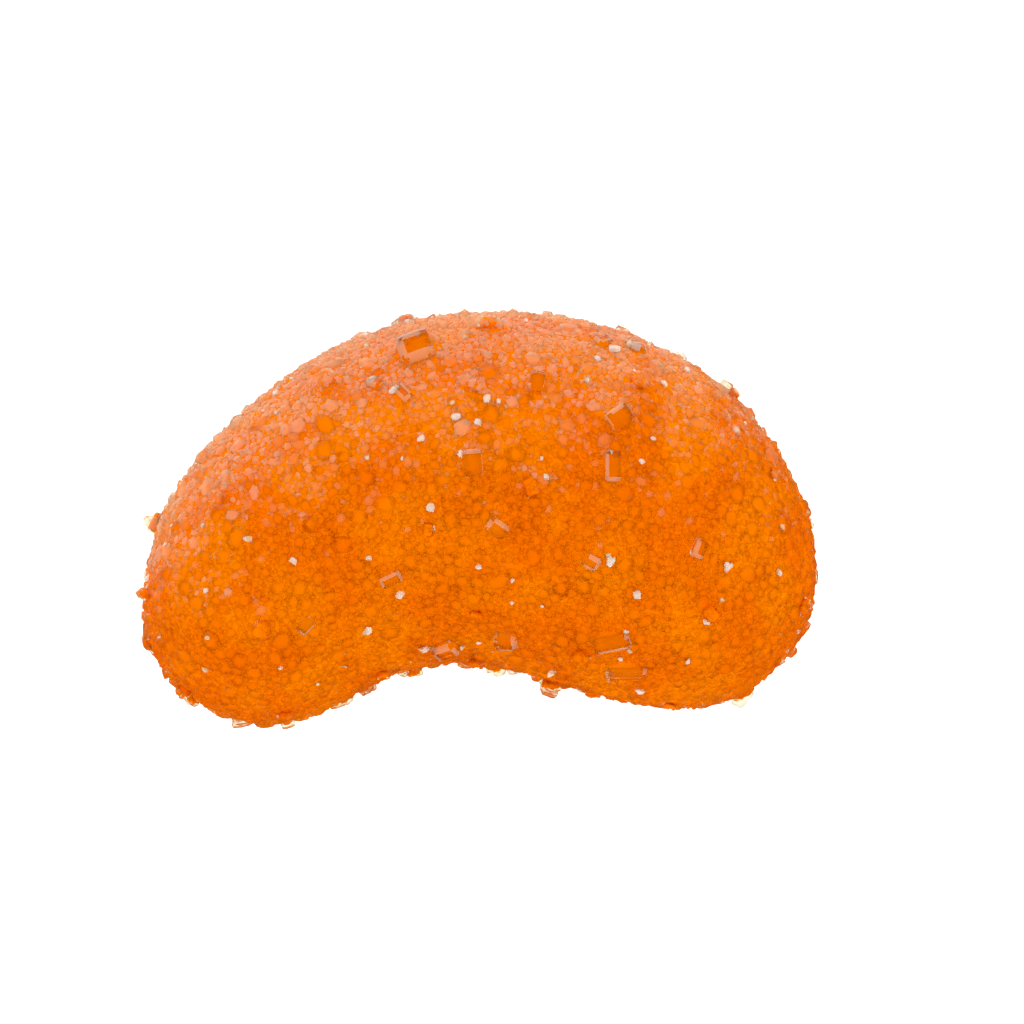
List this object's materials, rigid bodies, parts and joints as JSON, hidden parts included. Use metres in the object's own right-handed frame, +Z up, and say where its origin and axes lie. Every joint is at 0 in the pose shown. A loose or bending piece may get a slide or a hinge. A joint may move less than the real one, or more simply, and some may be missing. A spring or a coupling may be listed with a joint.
{
  "type": "orange slice gummy",
  "caption": "Plump crescent of orange fruit jelly, sanded all over with coarse clear sugar, lying on its flat back.",
  "frame": {"origin": "middle of the piece's box, on the surface that it lies on", "axes": "+Z up out of the domed top, +X along the crescent towards its fuller lobe, +Y towards its outer curve"},
  "size_m": [0.0228, 0.014, 0.0095],
  "materials": {
    "sugared_jelly": "translucent orange fruit jelly under a full coat of clear sugar grains"
  },
  "bodies": {
    "root": {"gummy": "sugared_jelly"}
  },
  "joints": []
}
